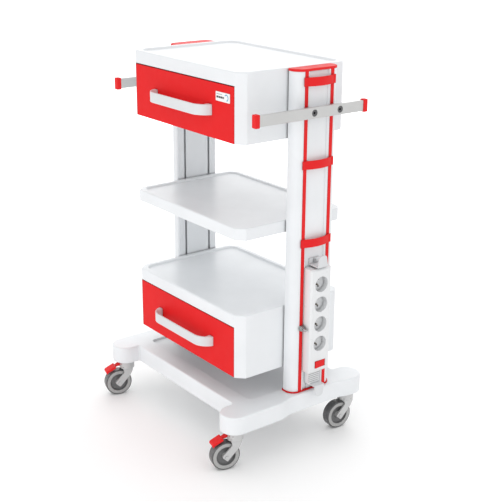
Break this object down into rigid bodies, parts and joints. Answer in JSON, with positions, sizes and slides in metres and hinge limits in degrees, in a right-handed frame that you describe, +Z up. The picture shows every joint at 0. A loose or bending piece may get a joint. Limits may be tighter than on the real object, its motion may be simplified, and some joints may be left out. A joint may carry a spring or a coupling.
{
  "type": "medical equipment trolley",
  "caption": "Two-column hospital trolley with drawer units, a shelf, side rails, cable channel with straps, a mains power strip and swivel castors.",
  "frame": {"origin": "middle of the footprint on the floor, under the middle of the overall box", "axes": "+Z up, -Y towards the drawer fronts, +X towards the column with the power strip"},
  "size_m": [0.589, 0.4543, 0.94],
  "materials": {
    "shell_white": "fine satin moulded white",
    "front_red": "smooth satin red powder coat",
    "handle_white": "satin white powder coat",
    "column_white": "satin white powder coat on an aluminium extrusion",
    "trim_red": "soft satin red",
    "rail_grey": "satin warm light grey",
    "zinc_steel": "bright zinc plate",
    "bright_pin": "nickel plate",
    "galvanised": "galvanised sheet steel",
    "strip_white": "smooth white",
    "socket_grey": "satin light grey",
    "contact_metal": "plain",
    "dark_steel": "dark burnished",
    "castor_grey": "satin warm grey",
    "hub_grey": "satin grey",
    "tyre_grey": "soft grey tread",
    "label_white": "blank satin film"
  },
  "bodies": {
    "trolley_frame": {"base_bolts": "zinc_steel", "base_cover": "shell_white", "base_frame": "galvanised", "busbars": "contact_metal", "cable_entry_block": "strip_white", "cable_hooks": "handle_white", "cable_straps": "trim_red", "castor_stems": "zinc_steel", "column_caps": "trim_red", "equipotential_pin": "bright_pin", "foot_gaskets": "trim_red", "hook_screws": "zinc_steel", "left_column": "column_white", "left_rail": "rail_grey", "lower_casing": "shell_white", "lower_fixed_slides": "zinc_steel", "lower_frame": "galvanised", "middle_shelf": "shell_white", "power_strip_housing": "strip_white", "rail_bolts": "dark_steel", "rail_end_caps": "trim_red", "rail_spacers": "zinc_steel", "right_column": "column_white", "right_rail": "rail_grey", "slot_nuts": "zinc_steel", "slot_strips": "trim_red", "socket_inserts": "socket_grey", "switch_cradle": "socket_grey", "unit_bolts": "zinc_steel", "upper_casing": "shell_white", "upper_fixed_slides": "zinc_steel", "upper_frame": "galvanised"},
    "upper_drawer": {"upper_drawer_box": "galvanised", "upper_drawer_front": "front_red", "upper_drawer_handle": "handle_white", "upper_drawer_slides": "zinc_steel", "upper_handle_screws": "zinc_steel", "label_plate": "label_white"},
    "upper_slide_middle": {"upper_middle_slides": "zinc_steel"},
    "lower_drawer": {"lower_drawer_box": "galvanised", "lower_drawer_front": "front_red", "lower_drawer_handle": "handle_white", "lower_drawer_slides": "zinc_steel", "lower_handle_screws": "zinc_steel"},
    "lower_slide_middle": {"lower_middle_slides": "zinc_steel"},
    "front_left_castor": {"front_left_fork": "castor_grey"},
    "front_left_wheel": {"front_left_hub": "hub_grey", "front_left_tyre": "tyre_grey"},
    "front_right_castor": {"front_right_fork": "castor_grey"},
    "front_right_wheel": {"front_right_hub": "hub_grey", "front_right_tyre": "tyre_grey"},
    "rear_left_castor": {"rear_left_fork": "castor_grey"},
    "rear_left_wheel": {"rear_left_hub": "hub_grey", "rear_left_tyre": "tyre_grey"},
    "rear_right_castor": {"rear_right_fork": "castor_grey"},
    "rear_right_wheel": {"rear_right_hub": "hub_grey", "rear_right_tyre": "tyre_grey"},
    "front_left_brake": {"front_left_brake_pedal": "trim_red"},
    "front_right_brake": {"front_right_brake_pedal": "trim_red"},
    "rocker": {"power_switch": "trim_red"}
  },
  "joints": [
    {"name": "upper_drawer_slide", "type": "slide", "parent": "trolley_frame", "child": "upper_drawer", "axis": [0, -1, 0], "range_m": [0, 0.24]},
    {"name": "upper_slide_extension", "type": "slide", "parent": "trolley_frame", "child": "upper_slide_middle", "axis": [0, -1, 0], "range_m": [0, 0.12]},
    {"name": "lower_drawer_slide", "type": "slide", "parent": "trolley_frame", "child": "lower_drawer", "axis": [0, -1, 0], "range_m": [0, 0.24]},
    {"name": "lower_slide_extension", "type": "slide", "parent": "trolley_frame", "child": "lower_slide_middle", "axis": [0, -1, 0], "range_m": [0, 0.12]},
    {"name": "front_left_swivel", "type": "hinge", "parent": "trolley_frame", "child": "front_left_castor", "pos_m": [-0.248, -0.162, 0.088], "axis": [0, 0, 1], "continuous": true},
    {"name": "front_left_roll", "type": "hinge", "parent": "front_left_castor", "child": "front_left_wheel", "pos_m": [-0.25473, -0.18711, 0.036], "axis": [0.9659, -0.2588, 0], "continuous": true},
    {"name": "front_left_brake_press", "type": "hinge", "parent": "front_left_castor", "child": "front_left_brake", "pos_m": [-0.25214, -0.17745, 0.0885], "axis": [0.9659, -0.2588, 0], "range_deg": [0, 6]},
    {"name": "front_right_swivel", "type": "hinge", "parent": "trolley_frame", "child": "front_right_castor", "pos_m": [0.248, -0.162, 0.088], "axis": [0, 0, 1], "continuous": true},
    {"name": "front_right_roll", "type": "hinge", "parent": "front_right_castor", "child": "front_right_wheel", "pos_m": [0.24127, -0.18711, 0.036], "axis": [0.9659, -0.2588, 0], "continuous": true},
    {"name": "front_right_brake_press", "type": "hinge", "parent": "front_right_castor", "child": "front_right_brake", "pos_m": [0.24386, -0.17745, 0.0885], "axis": [0.9659, -0.2588, 0], "range_deg": [0, 6]},
    {"name": "rear_left_swivel", "type": "hinge", "parent": "trolley_frame", "child": "rear_left_castor", "pos_m": [-0.248, 0.194, 0.088], "axis": [0, 0, 1], "continuous": true},
    {"name": "rear_left_roll", "type": "hinge", "parent": "rear_left_castor", "child": "rear_left_wheel", "pos_m": [-0.25027, 0.1681, 0.036], "axis": [0.9962, -0.0872, 0], "continuous": true},
    {"name": "rear_right_swivel", "type": "hinge", "parent": "trolley_frame", "child": "rear_right_castor", "pos_m": [0.248, 0.194, 0.088], "axis": [0, 0, 1], "continuous": true},
    {"name": "rear_right_roll", "type": "hinge", "parent": "rear_right_castor", "child": "rear_right_wheel", "pos_m": [0.24573, 0.1681, 0.036], "axis": [0.9962, -0.0872, 0], "continuous": true},
    {"name": "rocker_switch", "type": "hinge", "parent": "trolley_frame", "child": "rocker", "pos_m": [0.286, 0.066, 0.222], "axis": [0, 0, 1], "range_deg": [-12, 0]}
  ],
  "couplings": [
    {"joint": "upper_slide_extension", "follows": "upper_drawer_slide", "ratio": 0.5},
    {"joint": "lower_slide_extension", "follows": "lower_drawer_slide", "ratio": 0.5}
  ]
}
